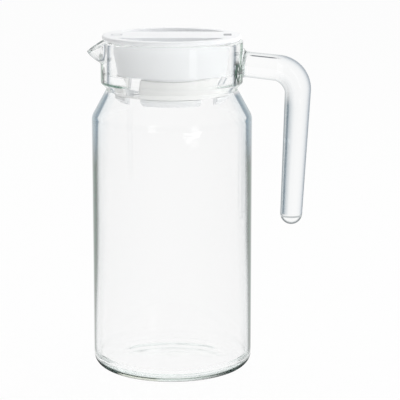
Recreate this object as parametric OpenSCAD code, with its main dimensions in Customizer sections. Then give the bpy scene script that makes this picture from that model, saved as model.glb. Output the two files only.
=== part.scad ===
// Glass pitcher with a free-ended glass handle and a two-piece turning lid.
// Millimetres, +Z up. The origin is on the jug's axis, on the surface it stands on.
// The spout points to -X and the handle to +X.

/* [Glass body] */
// outside diameter of the straight wall
body_d = 100; // [92:1:112]
// height of the straight wall, up to the break of the shoulder
wall_top = 160; // [125:1:190]
// glass thickness of the straight wall
body_wall = 3.2; // [2.4:0.1:4.2]
// rounding of the outside heel
heel_r = 8; // [6:0.5:11]
// rounding inside, between floor and wall
floor_r = 6; // [3:0.5:9]
// height of the inside floor above the table
floor_z = 5.5; // [4.5:0.25:9]
// diameter of the hollow in the underside
punt_d = 68; // [44:1:70]
// height of the hollow in the underside, at its middle
punt_h = 1.6; // [0.8:0.1:2.4]
// rounding of the break between wall and shoulder
shoulder_r = 9; // [4:0.5:14]

/* [Glass neck] */
// height of the shoulder, from the break up to the waist
shoulder_h = 17.4; // [14:0.2:24]
// inside diameter of the throat, where the lid's collar seals
throat_d = 72.6; // [66:0.2:75]
// height of the narrow land inside the throat
throat_land = 2.6; // [2:0.1:4]
// inside diameter above the throat
bore_d = 80; // [79:0.2:86]
// height over which the throat widens to the bore
taper_h = 8; // [6:0.5:10]
// glass thickness of neck and rim
neck_wall = 4.2; // [3.4:0.1:5]
// height of the outer ring, from its lower edge to the rim
ring_h = 26.4; // [25:0.2:32]
// rounding of the rim's edges
rim_r = 1.6; // [0.8:0.1:1.6]
// rounding of the ring's lower edge and of the waist
waist_r = 1.4; // [0.6:0.1:2]

/* [Spout] */
// how far the lip is pulled out from the ring
spout_reach = 8.4; // [5:0.2:11]
// width of the pulled part of the rim
spout_w = 38; // [28:1:44]
// how far the lip dips below the rim
spout_drop = 6.7; // [4:0.1:8]
// height of the pulled part of the ring, below the rim
spout_h = 15; // [12:0.1:18]
// height over which the lip curves out to its full reach
spout_curl = 13.5; // [11:0.1:15]

/* [Handle] */
// thickness of the arm
arm_t = 15.8; // [13:0.1:17]
// thickness of the grip at its top
grip_t = 16.3; // [14:0.1:18]
// thickness of the grip at its free end
end_t = 13.9; // [11:0.1:14.5]
// how much the bend is thicker than the grip's top
bend_swell = 1.3; // [0:0.1:2]
// width across the handle over its thickness
width_ratio = 1.04; // [0.9:0.02:1.2]
// depth of the handle's middle below the rim, where it leaves the ring
root_drop = 15.3; // [13.4:0.1:15.6]
// distance from the jug's axis to the middle of the grip, at its top
handle_reach = 78.4; // [76:0.1:92]
// radius of the bend, on the handle's middle line
bend_r = 15; // [13:0.1:20]
// fall of the arm from the root to the bend, degrees
arm_fall = 6.5; // [0:0.5:8]
// lean of the grip towards the body, degrees
grip_lean = 2.5; // [0:0.1:3]
// length of the straight grip, without its round end
grip_len = 76.8; // [60:0.1:90]
// how much the root widens where it is fused to the ring
root_flare = 1; // [0.4:0.1:1.2]
// length of the widened root
root_len = 5; // [4:0.5:7]

/* [Lid cap] */
// how far the flange stays inside the ring's outside
flange_inset = 1.1; // [0.4:0.1:2]
// thickness of the flange
flange_t = 2.6; // [2.2:0.1:3.4]
// rounding of the flange's edges
flange_r = 0.9; // [0.4:0.1:1]
// gap between the flange and the glass rim
seat_gap = 0.3; // [0.2:0.05:0.6]
// radial gap between skirt and glass under the flange, where the drink runs
pour_gap = 3; // [2.6:0.1:4]
// wall thickness of the cap
cap_wall = 1.8; // [1.4:0.1:2.2]
// width of the grip bar between the two finger wells
bar_w = 35; // [28:0.5:38]
// rounding of the wells' mouths and floors
well_r = 1.5; // [0.8:0.1:1.6]
// thickness of the wells' floors
well_floor = 1.6; // [1.2:0.1:2.2]
// length of the fingers under the collar
finger_len = 4.4; // [3.4:0.1:5.4]
// how far the fingers hook under the collar
hook = 1.4; // [0.9:0.1:1.5]
// height of the stop ring above the collar
stop_h = 1; // [0.8:0.1:1.4]
// how far the stop ring stands out from the sleeve
stop_out = 1; // [0.7:0.1:1.4]

/* [Lid collar] */
// height of the collar
collar_h = 10.4; // [9:0.1:12]
// wall thickness of the collar
collar_wall = 1.8; // [1.4:0.1:2.2]
// height of the seal lip above the collar's foot
lip_z = 4.7; // [3.6:0.1:5]
// height of the seal lip
lip_h = 1.4; // [1:0.1:1.8]
// radial gap between the seal lip and the throat
lip_gap = 0.3; // [0.2:0.05:0.5]
// how far the seal lip stands out from the collar
lip_out = 0.4; // [0.2:0.05:0.8]
// gap between the collar and the cap that turns in it
turn_gap = 0.3; // [0.2:0.05:0.45]

/* [Pour slots] */
// width of each slot
slot_w = 12; // [9:0.5:14]
// turn of each slot from the line of spout and handle, degrees
slot_turn = 49; // [44:0.5:54]
// height of the bridge that closes the collar under its slots
bridge_h = 2; // [1.6:0.1:3]
// how far the cap's slots rise above the stop ring
slot_rise = 0.6; // [0.4:0.1:1.4]
// height of the skirt between the slots and the wells' floors
slot_roof = 0.6; // [0.4:0.1:1.4]

/* [Hidden] */
$fn = 96;
arc_steps = 7;
over = 1;

glass_tint = [0.80, 0.88, 0.88, 0.45];
white = [0.93, 0.94, 0.94];
frosted = [0.84, 0.87, 0.88];

body_r = body_d / 2;
inner_r = body_r - body_wall;
throat_r = throat_d / 2;
bore_r = bore_d / 2;
waist_out = throat_r + neck_wall;
ring_r = bore_r + neck_wall;
waist_z = wall_top + shoulder_h;
step_h = bore_r - throat_r;
ring_z = waist_z + step_h;
rim_z = ring_z + ring_h;
land_z = waist_z + throat_land;
shoulder_slope = (body_r - waist_out) / shoulder_h;
inner_break_z = waist_z - (inner_r - throat_r) / shoulder_slope;

lip_r = throat_r - lip_gap;
collar_r = lip_r - lip_out;
collar_in = collar_r - collar_wall;
collar_z = waist_z + throat_land / 2 - lip_z;
collar_top = collar_z + collar_h;
sleeve_r = collar_in - turn_gap;
sleeve_in = sleeve_r - cap_wall;
finger_top = collar_z - turn_gap;
finger_z = finger_top - finger_len;
stop_z = collar_top + turn_gap;
slot_top = stop_z + stop_h + slot_rise;
floor_under = slot_top + slot_roof;
floor_top = floor_under + well_floor;
flange_z = rim_z + seat_gap;
cap_top = flange_z + flange_t;
flange_out = ring_r - flange_inset;
skirt_r = bore_r - pour_gap;
bar_in = bar_w / 2 - cap_wall;

function unit(v) = v / norm(v);
function flat(p) = [p.x, p.y];

// Arc that rounds the corner b between a and c.
function corner(a, b, c, r) =
    let (
        u = unit(a - b),
        v = unit(c - b),
        half = acos(u * v) / 2,
        mid = b + unit(u + v) * r / sin(half),
        from = b + u * r / tan(half) - mid,
        to = b + v * r / tan(half) - mid,
        start = atan2(from.y, from.x),
        turn = atan2(to.y, to.x) - start,
        sweep = turn > 180 ? turn - 360 : turn < -180 ? turn + 360 : turn
    )
    [for (k = [0:arc_steps])
        mid + r * [cos(start + sweep * k / arc_steps), sin(start + sweep * k / arc_steps)]];

// Outline through corners [radius, height, rounding].
function outline(pts) =
    let (n = len(pts))
    [for (k = [0:n - 1])
        let (p = pts[k])
        each p.z == 0
            ? [flat(p)]
            : corner(flat(pts[(k + n - 1) % n]), flat(p), flat(pts[(k + 1) % n]), p.z)];

// Quarter arc of a rounded edge: steps from 0 along the wall to r across it.
function edge_in(r, k) = r * (1 - cos(90 * k / arc_steps));
function edge_up(r, k) = r * sin(90 * k / arc_steps);

// Rounded mouth of a hollow whose wall stands at x, up to the open top z.
function mouth(x, z, r) =
    concat(
        [for (k = [0:arc_steps]) [x + edge_in(r, k), z - r + edge_up(r, k), 0]],
        [[x + r, z + over, 0], [0, z + over, 0]]
    );

module turned(pts) {
    rotate_extrude()
        polygon(outline(pts));
}

// Shallow hollow of the underside, from the axis out to the standing ring.
function punt() =
    [for (k = [0:arc_steps - 1])
        [punt_d / 2 * k / arc_steps, punt_h * (1 - pow(k / arc_steps, 2)), 0]];

module body_outside() {
    turned(concat(punt(), [
        [punt_d / 2, 0, 0],
        [body_r, 0, heel_r],
        [body_r, wall_top, shoulder_r],
        [waist_out, waist_z, waist_r],
        [ring_r, ring_z, waist_r],
        [ring_r, rim_z, rim_r],
        [0, rim_z, 0]
    ]));
}

module body_inside() {
    turned(concat([
        [0, floor_z, 0],
        [inner_r, floor_z, floor_r],
        [inner_r, inner_break_z, shoulder_r],
        [throat_r, waist_z, waist_r],
        [throat_r, land_z, waist_r / 2],
        [bore_r, land_z + taper_h, waist_r]
    ], mouth(bore_r, rim_z, rim_r)));
}

spout_z = rim_z - spout_h;
spout_turn = asin(spout_w / 2 / ring_r);
lip_steps = 20;
wall_steps = 8;
curl_power = 1.3;
// keeps the flat facets of the pulled part just inside the round wall that it joins
facet_inset = 0.04;

// Outer and inner edge of the ring's wall above the spout's root, as pairs from the root to the rim.
function wall_pairs() =
    let (outer = ring_r - facet_inset, inner = bore_r + facet_inset, top = rim_z - facet_inset)
    concat(
        [for (k = [0:wall_steps - 1])
            let (z = spout_z + (top - rim_r - spout_z) * k / wall_steps)
            [[outer, z], [inner, z]]],
        [for (k = [0:arc_steps])
            let (z = top - rim_r + edge_up(rim_r, k))
            [[outer - edge_in(rim_r, k), z], [inner + edge_in(rim_r, k), z]]]
    );

// Moves a point of the wall out and down, the most in the middle of the spout.
function pulled(p, turn) =
    let (
        pull = pow(cos(90 * turn / spout_turn), 2),
        up = p.y - spout_z,
        r = p.x + spout_reach * pull * (1 - pow(max(0, 1 - up / spout_curl), curl_power))
    )
    [-r * cos(turn), -r * sin(turn), p.y - spout_drop * pull * up / spout_h];

// Part of the ring that is pulled out to a lip: sections run up the outside and down the inside.
module spout() {
    pairs = wall_pairs();
    m = len(pairs);
    n = 2 * m;
    last = lip_steps * n;
    turns = [for (k = [0:lip_steps]) spout_turn * (2 * k / lip_steps - 1)];
    edge = concat([for (p = pairs) p[0]], [for (k = [m - 1:-1:0]) pairs[k][1]]);
    polyhedron(
        points = [for (t = turns) for (p = edge) pulled(p, t)],
        faces = concat(
            [for (i = [0:n:last - 1]) for (k = [0:n - 1]) [i + k, i + (k + 1) % n, i + n + k]],
            [for (i = [0:n:last - 1]) for (k = [0:n - 1])
                [i + n + k, i + (k + 1) % n, i + n + (k + 1) % n]],
            [for (k = [0:m - 2]) [n - 1 - k, n - 2 - k, k + 1, k]],
            [for (k = [0:m - 2]) [last + k, last + k + 1, last + n - 2 - k, last + n - 1 - k]]
        )
    );
}

module glass_body() {
    color(glass_tint)
        union() {
            difference() {
                body_outside();
                body_inside();
                // room for the spout
                rotate([0, 0, 180 - spout_turn])
                    rotate_extrude(angle = 2 * spout_turn)
                        translate([bore_r - over, spout_z])
                            square([neck_wall + 2 * over, spout_h + over]);
            }
            spout();
        }
}

handle_z = rim_z - root_drop;
bend_x = handle_reach - bend_r * cos(grip_lean);
arm_x = bend_x + bend_r * sin(arm_fall);
bend_z = handle_z - (arm_x - ring_r) * tan(arm_fall) - bend_r * cos(arm_fall);
grip_z = bend_z - bend_r * sin(grip_lean);
end_r = end_t / 2;
root_x = bore_r + neck_wall / 2;
arm_steps = 10;
bend_steps = 14;
grip_steps = 6;
dome_steps = 6;
ring_points = 32;

// Thickness of the arm at a distance from the ring: a flared root, then an even change to the bend.
function arm_width(d) =
    arm_t + (grip_t - arm_t) * max(d, 0) / (arm_x - ring_r)
        + 2 * root_flare * pow(max(0, 1 - max(d, 0) / root_len), 2);

// Station on the grip's line: [x, z, direction, thickness].
function on_grip(d, t) =
    [handle_reach - d * sin(grip_lean), grip_z - d * cos(grip_lean), -90 - grip_lean, t];

// Stations along the handle's middle line, from inside the ring to the free end.
function handle_line() =
    concat(
        [for (k = [0:arm_steps])
            let (x = root_x + (arm_x - root_x) * k / arm_steps)
            [x, handle_z - (x - ring_r) * tan(arm_fall), -arm_fall, arm_width(x - ring_r)]],
        [for (k = [1:bend_steps])
            let (a = 90 - arm_fall - (90 - arm_fall + grip_lean) * k / bend_steps)
            [bend_x + bend_r * cos(a), bend_z + bend_r * sin(a), a - 90,
                grip_t + bend_swell * sin(180 * k / bend_steps)]],
        [for (k = [1:grip_steps])
            on_grip(grip_len * k / grip_steps, grip_t + (end_t - grip_t) * k / grip_steps)],
        [for (k = [1:dome_steps - 1])
            let (a = 90 * k / dome_steps)
            on_grip(grip_len + end_r * sin(a), end_t * cos(a))]
    );

function section_point(s, a) =
    [s[0] - sin(s[2]) * cos(a) * s[3] / 2, width_ratio * sin(a) * s[3] / 2,
        s[1] + cos(s[2]) * cos(a) * s[3] / 2];

// Closed form through round sections at the stations, ending in a point.
module swept(line, tip) {
    n = ring_points;
    last = (len(line) - 1) * n;
    polyhedron(
        points = concat(
            [for (s = line) for (k = [0:n - 1]) section_point(s, 360 * k / n)],
            [tip]
        ),
        faces = concat(
            [[for (k = [n - 1:-1:0]) k]],
            [for (i = [0:n:last - 1]) for (k = [0:n - 1]) [i + k, i + (k + 1) % n, i + n + k]],
            [for (i = [0:n:last - 1]) for (k = [0:n - 1])
                [i + n + k, i + (k + 1) % n, i + n + (k + 1) % n]],
            [for (k = [0:n - 1]) [last + k, last + (k + 1) % n, last + n]]
        )
    );
}

module handle() {
    tip = on_grip(grip_len + end_r, 0);
    color(glass_tint)
        difference() {
            swept(handle_line(), [tip[0], 0, tip[1]]);
            translate([0, 0, ring_z])
                cylinder(r = ring_r, h = ring_h + over);
        }
}

// Radius of the skirt's outside and inside at a height.
function skirt_out(z) = sleeve_r + (skirt_r - sleeve_r) * (z - stop_z) / (flange_z - stop_z);
function skirt_in(z) = skirt_out(z) - cap_wall;

// Plate that cuts a slot through sleeve and collar.
module slot(turn, foot, top) {
    rotate([0, 0, turn])
        translate([sleeve_in - 2 * over, -slot_w / 2, foot])
            cube([lip_r - sleeve_in + 4 * over, slot_w, top - foot]);
}

// Section of a well across the grip bar, whose upper edge is rounded.
function well_section() =
    concat(
        [[flange_out, floor_under], [bar_w / 2, floor_under]],
        [for (k = [0:arc_steps])
            [bar_w / 2 - edge_in(well_r, k), cap_top - well_r + edge_up(well_r, k)]],
        [[bar_w / 2 - well_r, cap_top + 2 * over], [flange_out, cap_top + 2 * over]]
    );

// Finger well in the cap, on one side of the grip bar.
module well(side) {
    intersection() {
        turned(concat(
            [[0, floor_top, 0], [skirt_in(floor_top), floor_top, well_r]],
            mouth(skirt_in(cap_top - well_r), cap_top, well_r)
        ));
        rotate([90, 0, side * 90])
            translate([0, 0, -flange_out])
                linear_extrude(height = 2 * flange_out)
                    polygon(well_section());
    }
}

module cap_outside() {
    turned([
        [0, finger_z, 0],
        [sleeve_r - cap_wall / 2, finger_z, 0],
        [collar_in + hook, finger_top - cap_wall, 0],
        [collar_in + hook, finger_top, 0],
        [sleeve_r, finger_top, 0],
        [sleeve_r, stop_z, 0],
        [sleeve_r + stop_out, stop_z, 0],
        [sleeve_r + stop_out, stop_z + stop_h, 0],
        [skirt_out(stop_z + stop_h), stop_z + stop_h, 0],
        [skirt_r, flange_z, 0],
        [flange_out, flange_z, flange_r],
        [flange_out, cap_top, flange_r],
        [0, cap_top, 0]
    ]);
}

// Hollow of the grip bar, open below.
module bar_hollow() {
    foot = floor_under - over;
    top = cap_top - flange_t;
    intersection() {
        translate([0, 0, foot])
            cylinder(r1 = skirt_in(foot), r2 = skirt_in(top), h = top - foot);
        translate([-flange_out, -bar_in, foot])
            cube([2 * flange_out, 2 * bar_in, top - foot]);
    }
}

module lid_cap() {
    color(white)
        difference() {
            cap_outside();
            well(-1);
            well(1);
            bar_hollow();
            // inside of the sleeve, up to the wells' floors
            translate([0, 0, finger_z - over])
                cylinder(r = sleeve_in, h = floor_under - finger_z + over);
            for (side = [-1, 1]) {
                slot(180 + side * slot_turn, finger_z - over, slot_top);
                slot(side * slot_turn, finger_z - over, finger_top);
            }
        }
}

module lid_collar() {
    color(frosted)
        difference() {
            turned([
                [collar_in, collar_z, 0],
                [collar_r, collar_z, 0],
                [collar_r, collar_z + lip_z - lip_h / 2, 0],
                [lip_r, collar_z + lip_z, 0],
                [collar_r, collar_z + lip_z + lip_h / 2, 0],
                [collar_r, collar_top, 0],
                [collar_in, collar_top, 0]
            ]);
            for (side = [-1, 1])
                slot(180 + side * slot_turn, collar_z + bridge_h, collar_top + over);
        }
}

glass_body();
handle();
lid_cap();
lid_collar();
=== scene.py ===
import math
from types import SimpleNamespace

import bpy
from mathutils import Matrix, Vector, noise


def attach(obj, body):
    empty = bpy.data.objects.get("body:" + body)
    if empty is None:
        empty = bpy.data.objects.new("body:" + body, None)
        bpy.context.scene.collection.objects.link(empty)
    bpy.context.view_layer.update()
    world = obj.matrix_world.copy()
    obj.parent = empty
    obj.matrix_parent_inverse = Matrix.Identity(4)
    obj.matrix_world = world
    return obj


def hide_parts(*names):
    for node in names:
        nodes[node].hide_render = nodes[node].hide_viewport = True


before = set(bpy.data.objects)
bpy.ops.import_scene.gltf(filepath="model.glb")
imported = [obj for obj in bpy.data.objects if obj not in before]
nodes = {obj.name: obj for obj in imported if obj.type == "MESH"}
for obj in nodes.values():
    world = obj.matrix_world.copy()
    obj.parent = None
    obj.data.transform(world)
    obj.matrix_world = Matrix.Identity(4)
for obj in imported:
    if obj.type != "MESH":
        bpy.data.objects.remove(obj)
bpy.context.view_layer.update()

MM = 0.001
RAD = math.radians
ON_AXIS = 1e-6
CREASE = RAD(38)

# Glass vessel: sizes in millimetres, as in the CAD model
BODY_R, INNER_R = 50.0, 46.8
THROAT_R, WAIST_R = 36.3, 40.5
BORE_R, RING_R = 40.0, 44.2
FLOOR_Z, WALL_TOP, WAIST_Z, LAND_Z = 5.5, 160.0, 177.4, 180.0
RING_Z, STEP_TOP, RIM_Z = 181.1, 188.0, 207.5
SHOULDER_SLOPE = (BODY_R - WAIST_R) / (WAIST_Z - WALL_TOP)
INNER_BREAK = WAIST_Z - (INNER_R - THROAT_R) / SHOULDER_SLOPE
PUNT_R, PUNT_H, PUNT_STEPS = 34.0, 1.6, 12
HEEL_ROUND, FLOOR_ROUND, SHOULDER_ROUND = 8, 6, 9
NECK_ROUND, LAND_ROUND, RIM_ROUND = 1.4, 0.7, 1.6
SPOUT_REACH, SPOUT_DROP, SPOUT_H, SPOUT_HALF = 8.4, 6.7, 15.0, 19.0
SPOUT_CURL, CURL_POWER, SPOUT_EASE = 13.5, 1.3, 4
SPOUT_Z = RIM_Z - SPOUT_H
SPOUT_TURN = math.asin(SPOUT_HALF / RING_R)
JUG_SIDES, RIM_STEPS = 256, 6
OUTSIDE_RUN, RIM_RUN, INSIDE_RUN = 6, 1.2, 3

# Unevenness of the blown glass, in millimetres
FLOOR_WAVE, FLOOR_WAVE_LONG, FINE_WAVE, FINE_SHARE = 0.03, 9, 0.008, 2.7
FLOOR_WAVE_R, FLOOR_WAVE_TOP, FLOOR_WAVE_FADE = 38, 7, 8
WALL_WAVE, WALL_WAVE_LONG, WALL_WAVE_RISE = 0.22, 31, 0.6
WALL_WAVE_LOW, WALL_WAVE_HIGH, WALL_WAVE_FADE = 12, 155, 15
INSIDE_SLACK = 0.1


def rounded(corners, steps=9):
    """Outline through (radius, height, rounding) corners, open at both ends."""
    line = []
    for k, (r, z, fillet) in enumerate(corners):
        corner = Vector((r, z))
        if not fillet:
            line.append(corner)
            continue
        back = (Vector(corners[k - 1][:2]) - corner).normalized()
        on = (Vector(corners[k + 1][:2]) - corner).normalized()
        half = back.angle(on) / 2
        middle = corner + (back + on).normalized() * fillet / math.sin(half)
        first = corner + back * fillet / math.tan(half) - middle
        sweep = first.angle_signed(corner + on * fillet / math.tan(half) - middle)
        for s in range(steps + 1):
            turn = -sweep * s / steps
            line.append(middle + Vector((first.x * math.cos(turn) - first.y * math.sin(turn),
                                         first.x * math.sin(turn) + first.y * math.cos(turn))))
    return line


def spaced(line, longest):
    """The same outline with long straight runs divided."""
    out = [line[0]]
    for a, b in zip(line, line[1:]):
        n = max(1, math.ceil((b - a).length / longest))
        out += [a.lerp(b, k / n) for k in range(1, n + 1)]
    return out


def glass_outline():
    """From the middle of the underside, up the outside and over the rim, to the middle of the floor."""
    punt = [(PUNT_R * k / PUNT_STEPS, PUNT_H * (1 - (k / PUNT_STEPS) ** 2), 0) for k in range(PUNT_STEPS)]
    outside = rounded(punt + [
        (PUNT_R, 0, 0), (BODY_R, 0, HEEL_ROUND), (BODY_R, WALL_TOP, SHOULDER_ROUND),
        (WAIST_R, WAIST_Z, NECK_ROUND), (RING_R, RING_Z, NECK_ROUND), (RING_R, SPOUT_Z, 0)])
    rim = rounded([
        (RING_R, SPOUT_Z, 0), (RING_R, RIM_Z, RIM_ROUND),
        (BORE_R, RIM_Z, RIM_ROUND), (BORE_R, SPOUT_Z, 0)], RIM_STEPS)
    inside = rounded([
        (BORE_R, SPOUT_Z, 0), (BORE_R, STEP_TOP, NECK_ROUND), (THROAT_R, LAND_Z, LAND_ROUND),
        (THROAT_R, WAIST_Z, NECK_ROUND), (INNER_R, INNER_BREAK, SHOULDER_ROUND),
        (INNER_R, FLOOR_Z, FLOOR_ROUND), (0, FLOOR_Z, 0)])
    return spaced(outside, OUTSIDE_RUN) + spaced(rim, RIM_RUN)[1:-1] + spaced(inside, INSIDE_RUN)


def pulled(r, z, turn):
    """A point of the ring after the spout has been pulled, with turn measured from the spout's middle."""
    up = z - SPOUT_Z
    if abs(turn) >= SPOUT_TURN or up <= 0:
        return r, z
    pull = math.cos(math.pi / 2 * turn / SPOUT_TURN) ** 2
    ease = min(1, up / SPOUT_EASE)
    curl = (1 - max(0, 1 - up / SPOUT_CURL) ** CURL_POWER) * ease * ease * (3 - 2 * ease)
    return r + SPOUT_REACH * pull * curl, z - SPOUT_DROP * pull * up / SPOUT_H


def hand_made(x, y, z, r):
    """Unevenness of the inside, the floor and the hollow under it, as offsets along radius and height."""
    if z < FLOOR_WAVE_TOP and r < FLOOR_WAVE_R:
        fade = min(1, (FLOOR_WAVE_R - r) / FLOOR_WAVE_FADE)
        p = Vector((x, y, FLOOR_WAVE_LONG * z)) / FLOOR_WAVE_LONG
        return 0, FLOOR_WAVE * fade * noise.noise(p) + FINE_WAVE * fade * noise.noise(p * FINE_SHARE)
    if WALL_WAVE_LOW < z < WALL_WAVE_HIGH and r < INNER_R + INSIDE_SLACK:
        fade = min(1, (z - WALL_WAVE_LOW) / WALL_WAVE_FADE, (WALL_WAVE_HIGH - z) / WALL_WAVE_FADE)
        return WALL_WAVE * fade * noise.noise(Vector((x, y, WALL_WAVE_RISE * z)) / WALL_WAVE_LONG), 0
    return 0, 0


def mesh_object(name, verts, faces):
    """Object in the scene from points in millimetres."""
    mesh = bpy.data.meshes.new(name)
    mesh.from_pydata([Vector(v) * MM for v in verts], [], faces)
    mesh.validate()
    obj = bpy.data.objects.new(name, mesh)
    bpy.context.scene.collection.objects.link(obj)
    return obj


def ring_faces(line, first, n):
    """Faces between the rings of a turned outline, which shrink to one point on the axis."""
    faces = []
    for a, b in zip(range(len(line) - 1), range(1, len(line))):
        i, j = first[a], first[b]
        for k in range(n):
            m = (k + 1) % n
            if line[a].x < ON_AXIS:
                faces.append((i, j + m, j + k))
            elif line[b].x < ON_AXIS:
                faces.append((i + k, i + m, j))
            else:
                faces.append((i + k, i + m, j + m, j + k))
    return faces


def turned_jug():
    """The vessel, turned from its outline, with its spout pulled and its inside uneven."""
    line = glass_outline()
    verts, first = [], []
    for p in line:
        first.append(len(verts))
        if p.x < ON_AXIS:
            verts.append((0, 0, p.y + hand_made(0, 0, p.y, 0)[1]))
            continue
        for k in range(JUG_SIDES):
            turn = -math.pi + 2 * math.pi * k / JUG_SIDES
            r, z = pulled(p.x, p.y, turn)
            x, y = -r * math.cos(turn), -r * math.sin(turn)
            dr, dz = hand_made(x, y, z, r)
            grow = (r + dr) / r
            verts.append((x * grow, y * grow, z + dz))
    return mesh_object("jug_turned", verts, ring_faces(line, first, JUG_SIDES))


# Handle: sizes in millimetres, as in the CAD model
ARM_T, GRIP_T, END_T, SWELL, WIDE = 15.8, 16.3, 13.9, 1.3, 1.04
REACH, BEND_R, GRIP_LEN, HANDLE_DROP = 78.4, 15.0, 76.8, 15.3
ARM_FALL, LEAN = RAD(6.5), RAD(2.5)
HANDLE_Z = RIM_Z - HANDLE_DROP
BEND_X = REACH - BEND_R * math.cos(LEAN)
ARM_LEN = BEND_X + BEND_R * math.sin(ARM_FALL) - RING_R
BEND_Z = HANDLE_Z - ARM_LEN * math.tan(ARM_FALL) - BEND_R * math.cos(ARM_FALL)
GRIP_Z = BEND_Z - BEND_R * math.sin(LEAN)
ROOT_FLARE, ROOT_LEN, ROOT_FOLLOW = 1.7, 3.4, 7
ROOT_STATIONS = (-2, 0, 0.1, 0.25, 0.5, 0.85, 1.3, 1.9, 2.6, ROOT_LEN)
ARM_STEP, ARM_STEPS, BEND_STEPS, GRIP_STEPS, END_STEPS = 1.75, 10, 28, 24, 14
CLEAR_OF_RING = 99
HANDLE_SIDES = 56


def handle_line():
    """Stations (x, z, direction, thickness, distance from the ring) from inside the wall to the free end."""
    line = []
    for d in [*ROOT_STATIONS, *(ROOT_LEN + ARM_STEP * k for k in range(1, ARM_STEPS + 1))]:
        far = min(d, ARM_LEN)
        fillet = max(0, 1 - max(d, 0) / ROOT_LEN)
        wide = ARM_T + (GRIP_T - ARM_T) * max(far, 0) / ARM_LEN
        wide += 2 * ROOT_FLARE * (1 - math.sqrt(1 - fillet * fillet))
        line.append((RING_R + far, HANDLE_Z - far * math.tan(ARM_FALL), -ARM_FALL, wide, d))
    for k in range(1, BEND_STEPS + 1):
        a = math.pi / 2 - ARM_FALL - (math.pi / 2 - ARM_FALL + LEAN) * k / BEND_STEPS
        line.append((BEND_X + BEND_R * math.cos(a), BEND_Z + BEND_R * math.sin(a), a - math.pi / 2,
                     GRIP_T + SWELL * math.sin(math.pi * k / BEND_STEPS), CLEAR_OF_RING))

    def on_grip(d, thickness):
        line.append((REACH - d * math.sin(LEAN), GRIP_Z - d * math.cos(LEAN), -math.pi / 2 - LEAN,
                     thickness, CLEAR_OF_RING))

    for k in range(1, GRIP_STEPS + 1):
        on_grip(GRIP_LEN * k / GRIP_STEPS, GRIP_T + (END_T - GRIP_T) * k / GRIP_STEPS)
    for k in range(1, END_STEPS):
        a = math.pi / 2 * k / END_STEPS
        on_grip(GRIP_LEN + END_T / 2 * math.sin(a), END_T * math.cos(a))
    on_grip(GRIP_LEN + END_T / 2, 0)
    return line


def swept_handle():
    """The rod, swept along its stations, with its root bent to the round of the ring."""
    line, n = handle_line(), HANDLE_SIDES
    verts = []
    for x, z, turn, wide, d in line[:-1]:
        follow = max(0, min(1, 1 - d / ROOT_FOLLOW))
        for k in range(n):
            a = 2 * math.pi * k / n
            y = WIDE * math.sin(a) * wide / 2
            back = (math.sqrt(RING_R ** 2 - y * y) - RING_R) * follow
            verts.append((x + back - math.sin(turn) * math.cos(a) * wide / 2, y,
                          z + math.cos(turn) * math.cos(a) * wide / 2))
    tip = len(verts)
    verts.append((line[-1][0], 0, line[-1][1]))
    faces = [tuple(range(n))]
    for i in range(0, tip - n, n):
        faces += [(i + k, i + n + k, i + n + (k + 1) % n, i + (k + 1) % n) for k in range(n)]
    faces += [(tip - n + k, tip, tip - n + (k + 1) % n) for k in range(n)]
    return mesh_object("handle_swept", verts, faces)


def joined(name, base, other, operation):
    """One mesh made of two: their sum, their difference or what they share."""
    join = base.modifiers.new("join", "BOOLEAN")
    join.operation = operation
    join.solver = "EXACT"
    join.object = other
    bpy.context.view_layer.update()
    made = base.evaluated_get(bpy.context.evaluated_depsgraph_get())
    mesh = bpy.data.meshes.new_from_object(made)
    mesh.name = name
    obj = bpy.data.objects.new(name, mesh)
    bpy.context.scene.collection.objects.link(obj)
    for old in (base, other):
        bpy.data.objects.remove(old)
    mesh.shade_smooth()
    mesh.set_sharp_from_angle(angle=CREASE)
    return obj


# Helpers that place nodes
FLOAT, COLOUR = "NodeSocketFloat", "NodeSocketColor"
MIX_FIRST, MIX_SECOND, MIX_RESULT = 6, 7, 2


def group(name, inputs, outputs):
    """Empty node group with its sockets."""
    tree = bpy.data.node_groups.new(name, "ShaderNodeTree")
    for label, kind, value in inputs:
        tree.interface.new_socket(label, in_out="INPUT", socket_type=kind).default_value = value
    for label, kind in outputs:
        tree.interface.new_socket(label, in_out="OUTPUT", socket_type=kind)
    return tree, tree.nodes.new("NodeGroupInput"), tree.nodes.new("NodeGroupOutput")


def place_group(tree, source, **values):
    """A group's node, with its own values."""
    node = tree.nodes.new("ShaderNodeGroup")
    node.node_tree = source
    for label, value in values.items():
        node.inputs[label].default_value = value
    return node


def math_node(tree, operation, first, second=0):
    """Calculation with two values, each a socket or a number."""
    node = tree.nodes.new("ShaderNodeMath")
    node.operation = operation
    for k, value in enumerate((first, second)):
        if isinstance(value, (int, float)):
            node.inputs[k].default_value = value
        else:
            tree.links.new(value, node.inputs[k])
    return node.outputs[0]


def times(tree, made, *values):
    for value in values:
        made = math_node(tree, "MULTIPLY", made, value)
    return made


def plus(tree, made, *values):
    for value in values:
        made = math_node(tree, "ADD", made, value)
    return made


def minus(tree, first, second):
    return math_node(tree, "SUBTRACT", first, second)


def larger(tree, first, second):
    return math_node(tree, "MAXIMUM", first, second)


def beyond(tree, value, limit):
    return math_node(tree, "GREATER_THAN", value, limit)


def vector_node(tree, operation, *values):
    """Calculation with vectors, each a socket or three numbers."""
    node = tree.nodes.new("ShaderNodeVectorMath")
    node.operation = operation
    for k, value in enumerate(values):
        if isinstance(value, tuple):
            node.inputs[k].default_value = value
        else:
            tree.links.new(value, node.inputs[k])
    return node


def between(tree, value, low, high, unit=1):
    """0 below low and 1 above high, or the other way round where low is the larger."""
    node = tree.nodes.new("ShaderNodeMapRange")
    node.interpolation_type = "SMOOTHSTEP"
    node.inputs["From Min"].default_value = low * unit
    node.inputs["From Max"].default_value = high * unit
    tree.links.new(value, node.inputs["Value"])
    return node.outputs[0]


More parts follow.
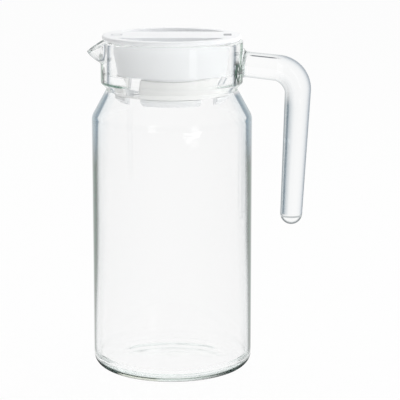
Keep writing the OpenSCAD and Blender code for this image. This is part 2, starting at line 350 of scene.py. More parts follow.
def band(tree, value, rise, fall, unit=1):
    """1 between a rise and a fall, each given by its two ends."""
    return times(tree, between(tree, value, *rise, unit), between(tree, value, *fall, unit))


def colour_mix(tree, share, first, second):
    """From the first colour to the second by a share, each a socket or four numbers."""
    mix = tree.nodes.new("ShaderNodeMix")
    mix.data_type = "RGBA"
    tree.links.new(share, mix.inputs[0])
    for k, colour in ((MIX_FIRST, first), (MIX_SECOND, second)):
        if isinstance(colour, tuple):
            mix.inputs[k].default_value = colour
        else:
            tree.links.new(colour, mix.inputs[k])
    return mix.outputs[MIX_RESULT]


def shader_mix(tree, share, first, second, out):
    """From the first shader to the second by a share, into the output."""
    mix = tree.nodes.new("ShaderNodeMixShader")
    for k, socket in enumerate((share, first, second)):
        tree.links.new(socket, mix.inputs[k])
    tree.links.new(mix.outputs[0], out.inputs["Surface"])


def bump_node(tree, shader, height, strength, distance):
    bump = tree.nodes.new("ShaderNodeBump")
    bump.inputs["Strength"].default_value = strength
    bump.inputs["Distance"].default_value = distance
    tree.links.new(height, bump.inputs["Height"])
    tree.links.new(bump.outputs["Normal"], shader.inputs["Normal"])


def object_spot(tree):
    """Places on the piece itself, in metres."""
    return tree.nodes.new("ShaderNodeTexCoord").outputs["Object"]


def split(tree, vector):
    node = tree.nodes.new("ShaderNodeSeparateXYZ")
    tree.links.new(vector, node.inputs[0])
    return node.outputs


def noise_node(tree, spot, detail):
    wave = tree.nodes.new("ShaderNodeTexNoise")
    wave.inputs["Detail"].default_value = detail
    tree.links.new(spot, wave.inputs["Vector"])
    return wave


def stretched_noise(tree, given, detail):
    """Noise of the group's Size, with heights multiplied by its Stretch."""
    squeeze = tree.nodes.new("ShaderNodeCombineXYZ")
    squeeze.inputs[0].default_value = squeeze.inputs[1].default_value = 1
    tree.links.new(given.outputs["Stretch"], squeeze.inputs[2])
    spot = vector_node(tree, "MULTIPLY", object_spot(tree), squeeze.outputs[0])
    wave = noise_node(tree, spot.outputs[0], detail)
    tree.links.new(given.outputs["Size"], wave.inputs["Scale"])
    return wave


# Node groups: unevenness of the glass, painted veins of shade where it bends light, and the skin of the
# plastics
RIPPLE_DETAIL = 1.5
VEIN_DETAIL, VEIN_WINDING, VEIN_SOFT = 1.0, 0.8, (0.0, 0.5)
GRAIN_SIZE, GRAIN_DETAIL = 2600, 2
CLOUD_SIZE, CLOUD_DETAIL = 55, 3
NOISE_MIDDLE = 0.5


def ripple_group():
    """Slow unevenness of the glass, as a height."""
    tree, given, out = group("glass_ripple", [("Size", FLOAT, 40.0), ("Stretch", FLOAT, 1.0)],
                             [("Height", FLOAT)])
    wave = stretched_noise(tree, given, RIPPLE_DETAIL)
    tree.links.new(wave.outputs["Fac"], out.inputs["Height"])
    return tree


def vein_group():
    """Painted thin winding lines of shade, as light bent in thick glass shows them."""
    tree, given, out = group("painted_bent_light_veins",
                             [("Size", FLOAT, 100.0), ("Stretch", FLOAT, 1.0), ("Width", FLOAT, 0.03)],
                             [("Mask", FLOAT)])
    wave = stretched_noise(tree, given, VEIN_DETAIL)
    wave.inputs["Distortion"].default_value = VEIN_WINDING
    off = math_node(tree, "ABSOLUTE", minus(tree, wave.outputs["Fac"], NOISE_MIDDLE))
    share = minus(tree, 1, math_node(tree, "DIVIDE", off, given.outputs["Width"]))
    tree.links.new(between(tree, share, *VEIN_SOFT), out.inputs["Mask"])
    return tree


def mould_group():
    """Fine skin of moulded plastic: a height, a roughness and a slight change of tone."""
    tree, given, out = group("moulded_skin",
                             [("Colour", COLOUR, (1, 1, 1, 1)), ("Roughness", FLOAT, 0.4),
                              ("Spread", FLOAT, 0.1), ("Tone", FLOAT, 0.03)],
                             [("Colour", COLOUR), ("Roughness", FLOAT), ("Height", FLOAT)])
    spot = object_spot(tree)
    grain = noise_node(tree, spot, GRAIN_DETAIL)
    grain.inputs["Scale"].default_value = GRAIN_SIZE
    tree.links.new(grain.outputs["Fac"], out.inputs["Height"])
    cloud = noise_node(tree, spot, CLOUD_DETAIL)
    cloud.inputs["Scale"].default_value = CLOUD_SIZE
    even = minus(tree, cloud.outputs["Fac"], NOISE_MIDDLE)
    rough = plus(tree, given.outputs["Roughness"], times(tree, even, given.outputs["Spread"]))
    tree.links.new(rough, out.inputs["Roughness"])
    tint = vector_node(tree, "SCALE", given.outputs["Colour"])
    tree.links.new(plus(tree, times(tree, even, given.outputs["Tone"]), 1), tint.inputs["Scale"])
    tree.links.new(tint.outputs[0], out.inputs["Colour"])
    return tree


ripple = ripple_group()
vein = vein_group()
mould = mould_group()


def new_material(name):
    mat = bpy.data.materials.new(name)
    mat.use_nodes = True
    tree = mat.node_tree
    tree.nodes.clear()
    return mat, tree, tree.nodes.new("ShaderNodeOutputMaterial")


# Painted shade of the glass, for the light its edges bend and mirror, by how far its surface turns from
# sight: 0 is face on and 1 edge on
CLEAR = (0.985, 0.985, 0.985)
WALL_EDGE_SHADE = [(0.0, CLEAR), (0.4, (0.92, 0.922, 0.923)), (0.56, (0.73, 0.75, 0.755)),
             (0.6, (0.5, 0.53, 0.535)), (0.635, (0.19, 0.215, 0.215)), (0.665, (0.04, 0.055, 0.05)),
             (0.7, (0.004, 0.012, 0.006)), (0.74, (0.0, 0.004, 0.001))]
HIGH_EDGE_SHADE = [(0.0, CLEAR), (0.4, (0.92, 0.925, 0.93)), (0.575, (0.72, 0.77, 0.8)),
             (0.625, (0.53, 0.6, 0.64)), (0.65, (0.06, 0.1, 0.135)), (0.67, (0.02, 0.05, 0.08)),
             (0.7, (0.02, 0.05, 0.08)), (0.76, (0.06, 0.115, 0.15)), (0.86, (0.03, 0.07, 0.1))]
RING_EDGE_SHADE = [(0.0, CLEAR), (0.5, (0.95, 0.955, 0.955)), (0.545, (0.55, 0.6, 0.64)),
             (0.57, (0.14, 0.17, 0.2)), (0.61, (0.14, 0.17, 0.2)), (0.645, (0.85, 0.87, 0.87)),
             (0.74, (0.9, 0.92, 0.9)), (0.8, (0.12, 0.24, 0.16)), (0.92, (0.0, 0.03, 0.012))]
THIN_EDGE_SHADE = [(0.0, CLEAR), (0.42, (0.96, 0.965, 0.965)), (0.55, (0.7, 0.73, 0.74)),
             (0.7, (0.48, 0.52, 0.53)), (0.9, (0.1, 0.12, 0.12))]
END_EDGE_SHADE = [(0.0, CLEAR), (0.34, (0.95, 0.955, 0.955)), (0.44, (0.45, 0.48, 0.5)),
            (0.54, (0.04, 0.05, 0.055)), (1.0, (0.01, 0.015, 0.018))]
GRIP_INNER_SHADE = [(0.04, (0.9, 0.91, 0.92)), (0.11, (0.61, 0.65, 0.68)), (0.2, (0.35, 0.4, 0.44)),
              (0.255, (0.21, 0.26, 0.3)), (0.31, (0.05, 0.078, 0.1)), (0.42, (0.06, 0.09, 0.115)),
              (0.53, (0.34, 0.39, 0.42)), (0.68, (0.04, 0.06, 0.075))]
GRIP_OUTER_SHADE = [(0.1, (0.94, 0.945, 0.95)), (0.26, (0.83, 0.855, 0.875)), (0.41, (0.57, 0.615, 0.655)),
              (0.53, (0.27, 0.32, 0.38)), (0.68, (0.07, 0.1, 0.135))]

# Painted shade and glints of the heel, for the shadowed gap and the light that it mirrors, from its upper
# edge, at 0, to where it turns under, at 1
HEEL_SHADE_LINE = [(0.0, CLEAR), (0.04, (0.6, 0.64, 0.62)), (0.09, (0.01, 0.016, 0.014)),
             (1.0, (0.0, 0.004, 0.003))]
HEEL_SHADE_AND_GLINT = [(0.0, CLEAR), (0.08, (0.3, 0.34, 0.32)), (0.16, (0.02, 0.03, 0.02)),
              (0.28, (0.02, 0.03, 0.02)), (0.36, (0.95, 0.93, 0.78)), (0.7, (0.95, 0.93, 0.78)),
              (0.8, (0.04, 0.04, 0.035)), (1.0, (0.0, 0.0, 0.0))]
HEEL_PALE_SHADE = [(0.0, CLEAR), (0.07, (0.5, 0.57, 0.52)), (0.15, (0.24, 0.32, 0.28)),
             (0.24, (0.36, 0.44, 0.39)), (0.34, (0.93, 0.95, 0.93)), (0.68, (0.93, 0.95, 0.93)),
             (0.8, (0.2, 0.23, 0.2)), (1.0, (0.06, 0.07, 0.06))]

# Single colours and values of the glass; the veins, the ring's foot line, the arm's line and the end's ring
# are painted shade of bent light
GLASS_CLEAR = (0.973, 0.973, 0.973, 1)
VEIN_SHADE = (0.0, 0.004, 0.001, 1)
RING_FOOT_SHADE = (0.06, 0.14, 0.1, 1)
ARM_SHADE_LINE = (0.03, 0.035, 0.045, 1)
END_RING_SHADE = (0.25, 0.28, 0.29, 1)
GLASS_SOAK, SOAK_DENSITY = (0.42, 0.7, 0.62, 1), 0.7
LAMP_THROUGH = (0.98, 0.985, 0.982, 1)
GLASS_IOR, UNEVEN_DEPTH, EDGE_WANDER = 1.5, 0.4, 0.12

# Stretches of the jug in millimetres: where each painted shade and glint starts and is full, or fades and is
# gone
HANDLE_FROM = 52.0
ARM_FROM, ARM_LOW = 44.6, 175.0
HEEL_START = (11.5, 8.5)
HEEL_MIDDLE = ((-11, -5), (36, 6))
LOW_WALL = (100, 20)
HIGH_WALL = (130, 158)
RING_START = (174, 179)
BEND_START = (162, 176)
UNDER_ARM = (166, 178)
ON_ARM, ARM_END = (170, 180), (73, 60)
ARM_SHADE_LINE_X = ((47, 50), (69, 62))
GRIP_END = (98.5, 96.5)
ROOT_X = ((37, 39), (46.4, 45.2))
LIP_X = (-39, -42)
VEIN_Z = ((179, 183), (199, 194))
RIM_TOP_X = (-42, -34)
LIP_START = (-44.8, -46.2)
FOOT_Z = ((180.8, 181.5), (183.1, 182.2))
FOOT_LEFT = (10, -10)

# The same by the lean of a surface, as the height of its normal or its normal across the grip
SHOULDER_LEAN = (0.15, 0.45)
RIM_TOP_LEAN = (0.2, 0.6)
ARM_SHADE_LINE_LEAN = ((0.75, 0.79), (0.87, 0.83))
END_RING_LEAN = ((-0.06, -0.12), (-0.3, -0.2))
GRIP_SPLIT = (-0.15, 0.15)

# The same by how far a surface turns aside, and how far each shifts or weakens an edge
VEIN_TURN = (0.4, 0.56)
FOOT_TURN, FOOT_LEAST = (0.22, 0.4), 0.35
LEAN_SIN, LEAN_COS, ASIDE_FROM = 0.5, 0.866, 0.033
SHOULDER_SHIFT, LOW_THINNER = 0.085, -0.09
UNDER_ARM_SHARE, RIM_TOP_CLEAR = 0.6, 0.6
HEEL_LEAN, HEEL_FROM, HEEL_SPAN = 1.49, 0.98, 1.47
GLINT_WAVES, GLINT_START, GLINT_SHARE = 71.4, 2.28, (-0.2, 0.3)


def edge_colour(tree, place, stops):
    """Colour from a row of stops (place, colour)."""
    ramp = tree.nodes.new("ShaderNodeValToRGB")
    marks = ramp.color_ramp.elements
    while len(marks) < len(stops):
        marks.new(0.5)
    for mark, (position, colour) in zip(marks, stops):
        mark.position, mark.color = position, (*colour, 1)
    tree.links.new(place, ramp.inputs["Fac"])
    return ramp.outputs["Color"]


def facing_node(tree):
    """How far a surface turns from sight."""
    weight = tree.nodes.new("ShaderNodeLayerWeight")
    weight.inputs["Blend"].default_value = 0.5
    return weight


def side_turn(tree, normal, nz):
    """How far a wall turns to its side, whatever the height that it is seen from."""
    turns = []
    for lean in (LEAN_SIN, -LEAN_SIN):
        leaned = vector_node(tree, "MULTIPLY_ADD", normal, (LEAN_COS, LEAN_COS, LEAN_COS), (0, 0, lean))
        unit = vector_node(tree, "NORMALIZE", leaned.outputs[0])
        weight = facing_node(tree)
        tree.links.new(unit.outputs[0], weight.inputs["Normal"])
        turns.append(weight.outputs["Facing"])
    aside = minus(tree, math_node(tree, "MINIMUM", *turns), ASIDE_FROM)
    aside = math_node(tree, "DIVIDE", aside, LEAN_COS)
    # the shoulder leans in, so its edge starts further round
    return minus(tree, aside, times(tree, between(tree, nz, *SHOULDER_LEAN), SHOULDER_SHIFT))


def glass_sockets(tree):
    """What the colours of the glass go by: place, normal, turn from sight, unevenness and the handle."""
    at = SimpleNamespace()
    side = tree.nodes.new("ShaderNodeNewGeometry")
    at.nx, at.ny, at.nz = split(tree, side.outputs["Normal"])
    at.px, at.py, at.pz = split(tree, object_spot(tree))
    at.behind = side.outputs["Backfacing"]
    at.facing = facing_node(tree).outputs["Facing"]
    at.aside = side_turn(tree, side.outputs["Normal"], at.nz)
    at.uneven = place_group(tree, ripple, Size=30, Stretch=0.4).outputs["Height"]
    at.wander = times(tree, minus(tree, at.uneven, NOISE_MIDDLE), EDGE_WANDER)
    arm = times(tree, beyond(tree, at.px, ARM_FROM * MM), beyond(tree, at.pz, ARM_LOW * MM))
    at.handle = larger(tree, beyond(tree, at.px, HANDLE_FROM * MM), arm)
    at.thin = edge_colour(tree, at.facing, THIN_EDGE_SHADE)
    return at


def wall_edge_shade(tree, at):
    """Painted shade on the side edges, for the light the wall bends, thinner low on the wall and bluer high
    up.
    """
    low = times(tree, between(tree, at.pz, *LOW_WALL, MM), LOW_THINNER)
    turn = plus(tree, at.aside, low, at.wander)
    return colour_mix(tree, between(tree, at.pz, *HIGH_WALL, MM),
                      edge_colour(tree, turn, WALL_EDGE_SHADE), edge_colour(tree, turn, HIGH_EDGE_SHADE))


def heel_shade_and_glints(tree, at):
    """Painted dark line round the heel, for the shadowed gap that it mirrors, broken by painted yellow
    glints and paler in the middle.
    """
    under = minus(tree, at.facing, times(tree, at.nz, HEEL_LEAN))
    under = math_node(tree, "DIVIDE", minus(tree, under, HEEL_FROM), HEEL_SPAN)
    swing = math_node(tree, "SINE", plus(tree, times(tree, at.px, GLINT_WAVES), GLINT_START))
    dark = colour_mix(tree, between(tree, swing, *GLINT_SHARE),
                      edge_colour(tree, under, HEEL_SHADE_LINE), edge_colour(tree, under, HEEL_SHADE_AND_GLINT))
    return colour_mix(tree, band(tree, at.px, *HEEL_MIDDLE, MM), dark, edge_colour(tree, under, HEEL_PALE_SHADE))


def handle_shade(tree, at):
    """Painted shade of the light that the rod bends: its inner and outer sides, the dark line along its arm
    and the ring on its round end.
    """
    bent = between(tree, at.pz, *BEND_START, MM)
    turn = plus(tree, at.aside, times(tree, bent, minus(tree, at.facing, at.aside)))
    under = times(tree, between(tree, at.pz, *UNDER_ARM, MM), UNDER_ARM_SHARE)
    inner = colour_mix(tree, under, edge_colour(tree, turn, GRIP_INNER_SHADE), at.thin)
    across = plus(tree, at.nx, times(tree, at.nz, bent))
    grip = colour_mix(tree, between(tree, across, *GRIP_SPLIT), inner, edge_colour(tree, turn, GRIP_OUTER_SHADE))
    arm = times(tree, between(tree, at.pz, *ON_ARM, MM), between(tree, at.px, *ARM_END, MM))
    grip = colour_mix(tree, arm, grip, at.thin)
    line = times(tree, band(tree, at.nz, *ARM_SHADE_LINE_LEAN), band(tree, at.px, *ARM_SHADE_LINE_X, MM))
    grip = colour_mix(tree, line, grip, ARM_SHADE_LINE)
    end = colour_mix(tree, band(tree, at.nz, *END_RING_LEAN), edge_colour(tree, at.facing, END_EDGE_SHADE), END_RING_SHADE)
    return colour_mix(tree, between(tree, at.pz, *GRIP_END, MM), grip, end)


def ring_shade(tree, at):
    """Painted shade on the edges of the rim ring, clear on its top, thin at the lip and with a painted green
    line of bent light along its foot.
    """
    top = times(tree, between(tree, at.nz, *RIM_TOP_LEAN), between(tree, at.px, *RIM_TOP_X, MM))
    turn = minus(tree, plus(tree, at.aside, at.wander), times(tree, top, RIM_TOP_CLEAR))
    lip = between(tree, at.px, *LIP_START, MM)
    rim = colour_mix(tree, lip, edge_colour(tree, turn, RING_EDGE_SHADE), at.thin)
    foot = times(tree, band(tree, at.pz, *FOOT_Z, MM), between(tree, at.aside, *FOOT_TURN),
                 plus(tree, FOOT_LEAST, between(tree, at.px, *FOOT_LEFT, MM)))
    return colour_mix(tree, foot, rim, RING_FOOT_SHADE)


def vein_shade_mask(tree, at):
    """Painted veins of shade where the spout and the handle's root bend the light."""
    veins = place_group(tree, vein, Size=130, Stretch=0.5, Width=0.06).outputs["Mask"]
    blots = place_group(tree, vein, Size=150, Stretch=0.7, Width=0.13).outputs["Mask"]
    root = times(tree, band(tree, at.px, *ROOT_X, MM), blots)
    lip = times(tree, between(tree, at.px, *LIP_X, MM), veins)
    return times(tree, larger(tree, root, lip), band(tree, at.pz, *VEIN_Z, MM),
                 between(tree, at.aside, *VEIN_TURN))


def outer_side(tree, at):
    """1 on the outer face of the glass, seen from outside."""
    outward = plus(tree, times(tree, at.nx, at.px), times(tree, at.ny, at.py))
    outside = larger(tree, beyond(tree, outward, 0), at.handle)
    return times(tree, outside, minus(tree, 1, at.behind))


def glass_material():
    """Clear glass with painted shade on its edges for the light they bend, which differs from stretch to
    stretch of the jug.
    """
    mat, tree, out = new_material("clear_glass")
    shader = tree.nodes.new("ShaderNodeBsdfPrincipled")
    shader.inputs["Roughness"].default_value = 0.0
    shader.inputs["IOR"].default_value = GLASS_IOR
    shader.inputs["Transmission Weight"].default_value = 1.0
    at = glass_sockets(tree)
    heel = between(tree, at.pz, *HEEL_START, MM)
    edge = colour_mix(tree, heel, wall_edge_shade(tree, at), heel_shade_and_glints(tree, at))
    edge = colour_mix(tree, between(tree, at.pz, *RING_START, MM), edge, ring_shade(tree, at))
    edge = colour_mix(tree, at.handle, edge, handle_shade(tree, at))
    edge = colour_mix(tree, vein_shade_mask(tree, at), edge, VEIN_SHADE)
    edge = colour_mix(tree, outer_side(tree, at), GLASS_CLEAR, edge)
    tree.links.new(edge, shader.inputs["Base Color"])
    bump_node(tree, shader, at.uneven, strength=1.0, distance=UNEVEN_DEPTH * MM)
    soak = tree.nodes.new("ShaderNodeVolumeAbsorption")
    soak.inputs["Color"].default_value = GLASS_SOAK
    soak.inputs["Density"].default_value = SOAK_DENSITY
    tree.links.new(soak.outputs["Volume"], out.inputs["Volume"])
    # lamplight passes through to the lid
    path = tree.nodes.new("ShaderNodeLightPath")
    lit = larger(tree, path.outputs["Is Shadow Ray"], path.outputs["Is Diffuse Ray"])
    through = tree.nodes.new("ShaderNodeBsdfTransparent")
    through.inputs["Color"].default_value = LAMP_THROUGH
    shader_mix(tree, lit, shader.outputs["BSDF"], through.outputs["BSDF"], out)
    return mat


# Plastic
PLASTIC_IOR, SKIN_STRENGTH, SKIN_DEPTH = 1.49, 0.12, 0.05


def plastic_material(name, colour, roughness, soft=0.0, depth=1.0):
    """Moulded plastic or print, soft where light enters it, to a depth in millimetres."""
    mat, tree, out = new_material(name)
    shader = tree.nodes.new("ShaderNodeBsdfPrincipled")
    tree.links.new(shader.outputs["BSDF"], out.inputs["Surface"])
    shader.inputs["IOR"].default_value = PLASTIC_IOR
    shader.inputs["Subsurface Weight"].default_value = soft
    shader.inputs["Subsurface Radius"].default_value = (1, 1, 1)
    shader.inputs["Subsurface Scale"].default_value = depth * MM
    skin = place_group(tree, mould, Colour=(*colour, 1), Roughness=roughness, Spread=0.16, Tone=0.03)
    tree.links.new(skin.outputs["Colour"], shader.inputs["Base Color"])
    tree.links.new(skin.outputs["Roughness"], shader.inputs["Roughness"])
    bump_node(tree, shader, skin.outputs["Height"], SKIN_STRENGTH, SKIN_DEPTH * MM)
    return mat


glass = glass_material()
white_plastic = plastic_material("white_plastic", (0.928, 0.938, 0.953), 0.36, soft=0.12, depth=1.5)
milky_plastic = plastic_material("milky_plastic", (0.98, 0.98, 0.972), 0.4)
pale_print = plastic_material("pale_grey_print", (0.72, 0.73, 0.75), 0.5)
dark_print = plastic_material("dark_grey_print", (0.4, 0.41, 0.43), 0.5)


def dress(obj, mat):
    obj.data.materials.clear()
    obj.data.materials.append(mat)


jug = joined("glass_jug", turned_jug(), swept_handle(), "UNION")
dress(jug, glass)
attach(jug, "jug")
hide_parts("glass_body", "handle")
dress(nodes["lid_collar"], milky_plastic)

# Lid cap: sizes in millimetres, as in the CAD model but for STOP_UNDER, which closes a dark gap
SLEEVE_R, CAP_WALL, HOOK_R, STOP_R, SKIRT_R, FLANGE_R = 33.5, 1.8, 35.2, 34.5, 37.0, 43.1
FINGER_Z, FINGER_TOP, STOP_UNDER, STOP_Z, STOP_TOP = 169.3, 173.7, 184.47, 184.7, 185.7
FLOOR_UNDER, FLOOR_TOP, FLANGE_Z, LID_TOP = 186.9, 188.5, 207.8, 210.4
BAR_W, WELL_R, WELL_BREAK, WELL_ROUND, FLANGE_ROUND = 35.0, 37.0, 203, 1.5, 0.9
SLOT_W, SLOT_TOP, SLOT_TURN, SLOT_OUT = 12.0, 186.3, RAD(49), 38
CAP_EDGE, COLLAR_EDGE, WELD_GAP = 0.18, 0.1, 0.01
CAP_SIDES, CAP_STEPS = 184, 6
# how far a cutter reaches past what it cuts, and how far the bar's blocks reach
PAST = 1
BLOCK_X, BLOCK_LOW, BLOCK_HIGH = 60, 150, 230


def skirt_in(z):
    """Radius of the conical skirt's inner face at a height."""
    return SLEEVE_R + (SKIRT_R - SLEEVE_R) * (z - STOP_Z) / (FLANGE_Z - STOP_Z) - CAP_WALL


def turned(name, corners):
    """Closed form turned from (radius, height, rounding) corners that start and end on the axis."""
    line, n = rounded(corners, CAP_STEPS), CAP_SIDES
    verts, first = [], []
    for p in line:
        first.append(len(verts))
        turns = [2 * math.pi * k / n for k in range(n if p.x > ON_AXIS else 1)]
        verts += [(p.x * math.cos(turn), p.x * math.sin(turn), p.y) for turn in turns]
    return mesh_object(name, verts, ring_faces(line, first, n))


def blocks(name, boxes):
    """Boxes (x0, y0, z0, x1, y1, z1, turn) that lie apart, as one mesh."""
    verts, faces = [], []
    for x0, y0, z0, x1, y1, z1, turn in boxes:
        i = len(verts)
        c, d = math.cos(turn), math.sin(turn)
        for z in (z0, z1):
            verts += [(x * c - y * d, x * d + y * c, z)
                      for x, y in ((x0, y0), (x1, y0), (x1, y1), (x0, y1))]
        faces += [(i + 3, i + 2, i + 1, i), (i + 4, i + 5, i + 6, i + 7)]
        faces += [(i + k, i + (k + 1) % 4, i + 4 + (k + 1) % 4, i + 4 + k) for k in range(4)]
    return mesh_object(name, verts, faces)


def bar_block(name, half):
    """Block along the grip bar, past the lid on all other sides."""
    return blocks(name, [(-BLOCK_X, -half, BLOCK_LOW, BLOCK_X, half, BLOCK_HIGH, 0)])


def cap_outside():
    """Fingers, sleeve, stop ring, skirt and flange, as a solid."""
    return turned("cap_outside", [
        (0, FINGER_Z, 0), (SLEEVE_R - CAP_WALL / 2, FINGER_Z, 0), (HOOK_R, FINGER_TOP - CAP_WALL, 0),
        (HOOK_R, FINGER_TOP, 0), (SLEEVE_R, FINGER_TOP, 0), (SLEEVE_R, STOP_UNDER, 0),
        (STOP_R, STOP_UNDER, 0), (STOP_R, STOP_TOP, 0), (skirt_in(STOP_TOP) + CAP_WALL, STOP_TOP, 0),
        (SKIRT_R, FLANGE_Z, 0), (FLANGE_R, FLANGE_Z, FLANGE_ROUND), (FLANGE_R, LID_TOP, FLANGE_ROUND),
        (0, LID_TOP, 0)])


def finger_wells():
    """The two wells beside the grip bar."""
    above = LID_TOP + 2 * PAST
    round_well = turned("well_core", [
        (0, FLOOR_TOP, 0), (skirt_in(FLOOR_TOP), FLOOR_TOP, WELL_ROUND),
        (skirt_in(WELL_BREAK), WELL_BREAK, 0), (WELL_R, LID_TOP, 0), (WELL_R, above, 0), (0, above, 0)])
    return joined("well_pair", round_well, bar_block("bar_block", BAR_W / 2), "DIFFERENCE")


def bar_hollow():
    """The space inside the grip bar, open to the sleeve."""
    low = FLOOR_UNDER - PAST
    core = turned("bar_core", [(0, low, 0), (skirt_in(low), low, 0), (skirt_in(FLANGE_Z), FLANGE_Z, 0),
                               (0, FLANGE_Z, 0)])
    return joined("bar_hollow", core, bar_block("bar_room", BAR_W / 2 - CAP_WALL), "INTERSECT")


def sleeve_bore():
    """The space inside the sleeve."""
    low, bore = FINGER_Z - PAST, SLEEVE_R - CAP_WALL
    return turned("sleeve_bore", [(0, low, 0), (bore, low, 0), (bore, FLOOR_UNDER, 0), (0, FLOOR_UNDER, 0)])


def sleeve_slots():
    """Two pour slots on the spout's side, and two short slots between the fingers on the other."""
    start = SLEEVE_R - CAP_WALL - 2 * PAST
    slots = ((SLOT_TOP, math.pi + SLOT_TURN), (SLOT_TOP, math.pi - SLOT_TURN),
             (FINGER_TOP, SLOT_TURN), (FINGER_TOP, -SLOT_TURN))
    return blocks("slots", [(start, -SLOT_W / 2, FINGER_Z - PAST, SLOT_OUT, SLOT_W / 2, top, turn)
                            for top, turn in slots])


def moulded_cap():
    """The cap, with its wells, hollows and slots cut from the solid."""
    made = cap_outside()
    for cutter in (finger_wells(), bar_hollow(), sleeve_bore(), sleeve_slots()):
        made = joined("cap_moulded", made, cutter, "DIFFERENCE")
    return made


cap = moulded_cap()
dress(cap, white_plastic)
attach(cap, "lid")
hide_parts("lid_cap")

# Printed marks that show where the lid pours, in millimetres
PRINT_T = 0.03
OPEN_LEFT, OPEN_RIGHT, OPEN_HALF, OPEN_HOLE, OPEN_SIDE = -37.6, -30.5, 4.8, 1.6, 1.4
CLOSED_LEFT, CLOSED_RIGHT, CLOSED_HALF = 32.1, 37, 5


def printed(name, bars, mat):
    """Thin bars (x0, y0, x1, y1) printed on the lid's top."""
    low, high = LID_TOP - PRINT_T, LID_TOP + PRINT_T
    obj = blocks(name, [(x0, y0, low, x1, y1, high, 0) for x0, y0, x1, y1 in bars])
    dress(obj, mat)
    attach(obj, "lid")


printed("open_mark", [(OPEN_LEFT, -OPEN_HALF, OPEN_RIGHT, -OPEN_HOLE),
                      (OPEN_LEFT, OPEN_HOLE, OPEN_RIGHT, OPEN_HALF),
                      (OPEN_LEFT, -OPEN_HOLE, OPEN_LEFT + OPEN_SIDE, OPEN_HOLE),
                      (OPEN_RIGHT - OPEN_SIDE, -OPEN_HOLE, OPEN_RIGHT, OPEN_HOLE)], pale_print)
printed("closed_mark", [(CLOSED_LEFT, -CLOSED_HALF, CLOSED_RIGHT, CLOSED_HALF)], dark_print)


def softened(node, width):
    """Small round along the edges of a moulded part."""
    weld = node.modifiers.new("weld", "WELD")
    weld.merge_threshold = WELD_GAP * MM
    bevel = node.modifiers.new("edge_round", "BEVEL")
    bevel.limit_method = "ANGLE"
    bevel.angle_limit = CREASE
    bevel.width = width * MM
    bevel.segments = 2
    bevel.harden_normals = True


softened(cap, CAP_EDGE)
softened(nodes["lid_collar"], COLLAR_EDGE)

# Floor, world, lamps and camera
WHITE = (1, 1, 1, 1)
FLOOR_HALF, FLOOR_DROP = 8000, 0.2
FLOOR_GREY, FLOOR_WHITE = (0.93, 0.93, 0.93, 1), 0.94
# painted shadow in a ring under the heel, seen only in the glass's mirror
GAP_SHADOW_R, GAP_SHADOW_DEPTH = ((38, 42), (58, 50)), 0.96
SKY_LEVEL, SKY_FALL, SKY_BEHIND = 1.5, 0.85, 1.5
PHOTO_WIDTH, FOCAL_PIXELS, SENSOR = 400, 1808.3, 36
CAMERA_PLACE, CAMERA_DIP = (0.0175, -1.1162, 0.3365), 11.67


def seen_rays(tree):
    """Rays that show the background."""
    path = tree.nodes.new("ShaderNodeLightPath")
    seen = larger(tree, path.outputs["Is Camera Ray"], path.outputs["Is Glossy Ray"])
    return larger(tree, seen, path.outputs["Is Transmission Ray"])


def mirrored_gap_shadow(tree):
    """Painted shadow in the narrow gap under the round of the heel, only where the glass mirrors it."""
    radius = vector_node(tree, "LENGTH", object_spot(tree)).outputs["Value"]
    path = tree.nodes.new("ShaderNodeLightPath")
    mirrored = minus(tree, path.outputs["Is Glossy Ray"], path.outputs["Is Transmission Ray"])
    return times(tree, band(tree, radius, *GAP_SHADOW_R, MM), larger(tree, mirrored, 0))


def pale_floor():
    """Floor that takes shadows and shows white, but for a painted shadow in the gap under the heel."""
    half = FLOOR_HALF
    floor = mesh_object("floor", [(-half, -half, 0), (half, -half, 0), (half, half, 0), (-half, half, 0)],
                        [(0, 1, 2, 3)])
    floor.location.z = -FLOOR_DROP * MM
    mat, tree, out = new_material("pale_floor")
    diffuse = tree.nodes.new("ShaderNodeBsdfDiffuse")
    diffuse.inputs["Color"].default_value = FLOOR_GREY
    glow = tree.nodes.new("ShaderNodeEmission")
    glow.inputs["Color"].default_value = WHITE
    tree.links.new(minus(tree, 1, times(tree, mirrored_gap_shadow(tree), GAP_SHADOW_DEPTH)), glow.inputs["Strength"])
    shader_mix(tree, times(tree, seen_rays(tree), FLOOR_WHITE), diffuse.outputs[0], glow.outputs[0], out)
    dress(floor, mat)


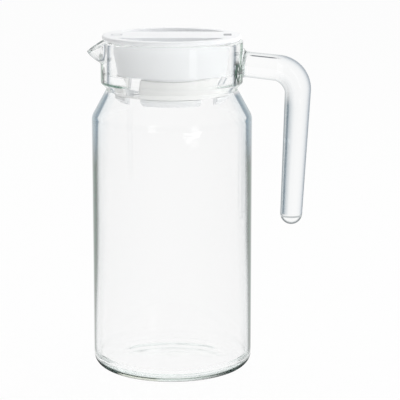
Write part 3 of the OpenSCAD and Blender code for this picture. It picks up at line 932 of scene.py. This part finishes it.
def studio_world():
    """White where it is seen, and soft light: brighter on the handle's side, less from high up in front."""
    world = bpy.data.worlds.new("studio")
    bpy.context.scene.world = world
    world.use_nodes = True
    tree = world.node_tree
    tree.nodes.clear()
    out = tree.nodes.new("ShaderNodeOutputWorld")
    sky, back = (tree.nodes.new("ShaderNodeBackground") for _ in range(2))
    for light in (sky, back):
        light.inputs["Color"].default_value = WHITE
    right, away, high = split(tree, tree.nodes.new("ShaderNodeTexCoord").outputs["Generated"])
    up = larger(tree, high, 0)
    height = minus(tree, 1, times(tree, up, SKY_FALL))
    behind = plus(tree, 1, times(tree, up, away, SKY_BEHIND))
    level = times(tree, plus(tree, right, SKY_LEVEL), times(tree, height, behind))
    tree.links.new(level, sky.inputs["Strength"])
    back.inputs["Strength"].default_value = 1.0
    shader_mix(tree, seen_rays(tree), sky.outputs[0], back.outputs[0], out)


def lamp(name, place, target, size, watts):
    """Rectangular soft lamp that looks at its target, with places and sizes in metres."""
    data = bpy.data.lights.new(name, "AREA")
    data.shape = "RECTANGLE"
    data.size, data.size_y = size
    data.energy = watts
    obj = bpy.data.objects.new(name, data)
    bpy.context.scene.collection.objects.link(obj)
    obj.location = place
    obj.rotation_euler = (Vector(target) - Vector(place)).to_track_quat("-Z", "Y").to_euler()
    obj.visible_camera = False
    return obj


def studio_lamps():
    """Two lamps that only give light, and two that show as highlights on the glass."""
    top = lamp("top_softbox", place=(0.1, 0.35, 1.2), target=(0, 0, 0.1), size=(1.0, 1.0), watts=4.4)
    front = lamp("front_fill", place=(0.2, -0.92, 0.15), target=(0, 0, 0.185), size=(0.8, 0.3), watts=1.22)
    for soft in (top, front):
        soft.visible_glossy = soft.visible_transmission = False
    lamp("strip_softbox", place=(0.28, -0.41, 0.29), target=(0, 0, 0.29), size=(0.1, 0.42), watts=0.1)
    lamp("small_softbox", place=(0.2614, -0.474, 0.083), target=(0.0131, -0.0482, 0.157),
         size=(0.25, 0.005), watts=0.0075)


def camera():
    """Camera at the photo's viewing angle, with its place in metres and its dip in degrees."""
    data = bpy.data.cameras.new("photo_camera")
    data.sensor_width = SENSOR
    data.lens = FOCAL_PIXELS / PHOTO_WIDTH * SENSOR
    data.clip_end = 50
    obj = bpy.data.objects.new("photo_camera", data)
    bpy.context.scene.collection.objects.link(obj)
    obj.location = CAMERA_PLACE
    obj.rotation_euler = (RAD(90 - CAMERA_DIP), 0, 0)
    bpy.context.scene.camera = obj


pale_floor()
studio_world()
studio_lamps()
camera()
bpy.context.scene.view_settings.view_transform = "Standard"
# light is mirrored many times inside thick glass
bpy.context.scene.cycles.max_bounces = 96
bpy.context.scene.cycles.glossy_bounces = 64
bpy.context.scene.cycles.transmission_bounces = 64
